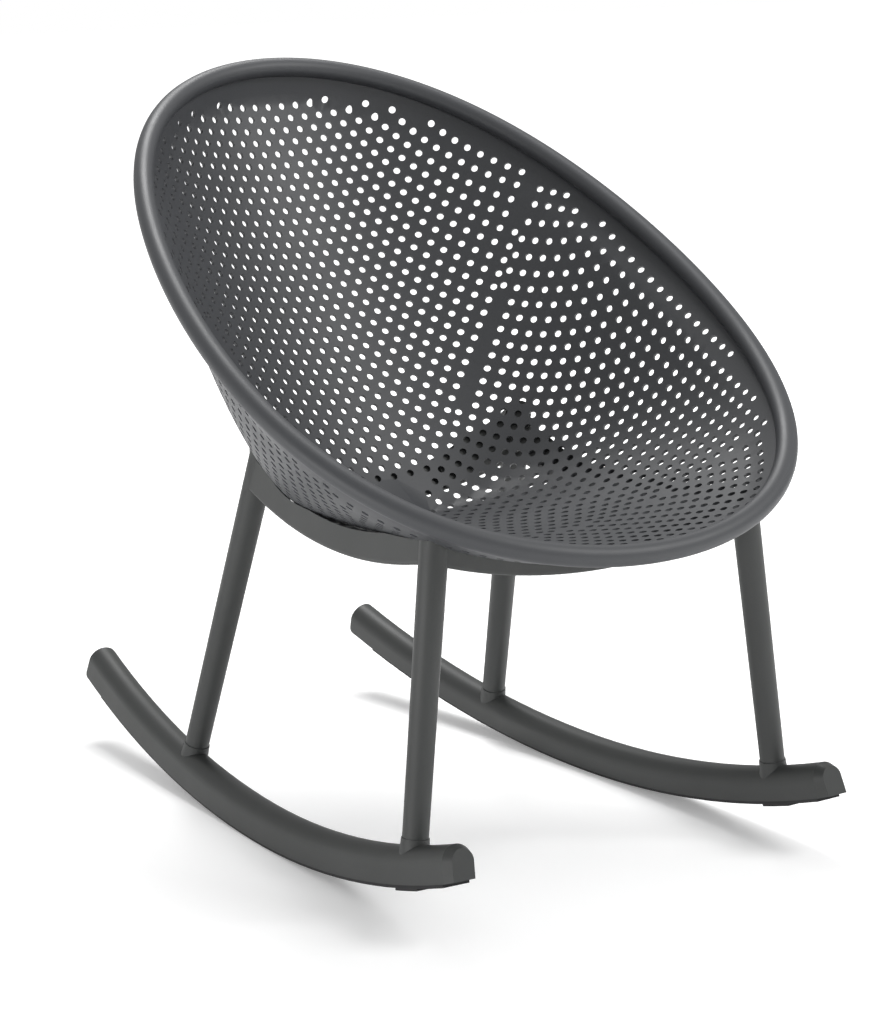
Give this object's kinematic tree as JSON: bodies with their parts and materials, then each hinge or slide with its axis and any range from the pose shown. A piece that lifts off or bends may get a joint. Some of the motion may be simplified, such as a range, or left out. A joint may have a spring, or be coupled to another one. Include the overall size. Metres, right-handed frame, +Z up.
{
  "type": "rocking chair",
  "caption": "Moulded plastic rocking chair: an egg-shaped bowl seat with a rolled rim on splayed round legs and two curved rockers.",
  "frame": {"origin": "on the floor under the middle of the chair's bounding box", "axes": "+Z up, the sitter faces -Y, +X is the sitter's left"},
  "size_m": [0.7171, 0.9207, 0.8716],
  "materials": {
    "shell_plastic": "fine matt texture",
    "frame_plastic": "fine matt texture",
    "rubber": "matt",
    "steel": "zinc plated",
    "brass": "plain"
  },
  "bodies": {
    "root": {"seat_shell": "shell_plastic", "side_frame_left": "frame_plastic", "side_frame_right": "frame_plastic", "front_rail": "frame_plastic", "rear_rail": "frame_plastic", "rocker_left": "frame_plastic", "rocker_right": "frame_plastic", "front_cap_left": "frame_plastic", "front_cap_right": "frame_plastic", "floor_strip_left": "rubber", "floor_strip_right": "rubber", "front_stop_left": "rubber", "front_stop_right": "rubber", "foot_bolts": "steel", "foot_washers": "steel", "leg_inserts": "brass", "lap_screws": "steel", "seat_screws": "steel", "seat_washers": "steel"}
  },
  "joints": []
}
